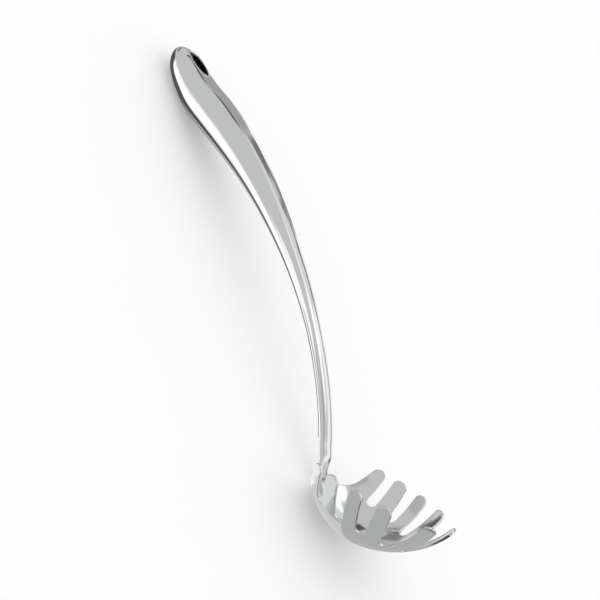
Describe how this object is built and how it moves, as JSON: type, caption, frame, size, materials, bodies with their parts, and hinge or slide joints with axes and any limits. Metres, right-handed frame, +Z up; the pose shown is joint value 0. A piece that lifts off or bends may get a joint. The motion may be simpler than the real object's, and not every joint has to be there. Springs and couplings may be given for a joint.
{
  "type": "pasta server",
  "caption": "Polished steel kitchen server: an egg-shaped fingered bowl on a slim curved neck that swells into a thick handle with an oval hanging hole.",
  "frame": {"origin": "centre of the assembly's footprint, on the table that the server lies on", "axes": "+X from the handle's end towards the bowl, +Y across the handle, +Z up from the table with the server lying on its back"},
  "size_m": [0.3416, 0.059, 0.0634],
  "materials": {
    "bowl_steel": "polished 18/10 stainless steel sheet",
    "shank_steel": "polished 18/10 stainless steel, forged and ground",
    "handle_steel": "mirror-polished 18/10 stainless steel, welded and ground flush",
    "sleeve_steel": "polished 18/10 stainless steel tube"
  },
  "bodies": {
    "root": {"bowl": "bowl_steel", "neck_shank": "shank_steel", "handle_front_shell": "handle_steel", "handle_back_shell": "handle_steel", "hang_hole_sleeve": "sleeve_steel"}
  },
  "joints": []
}
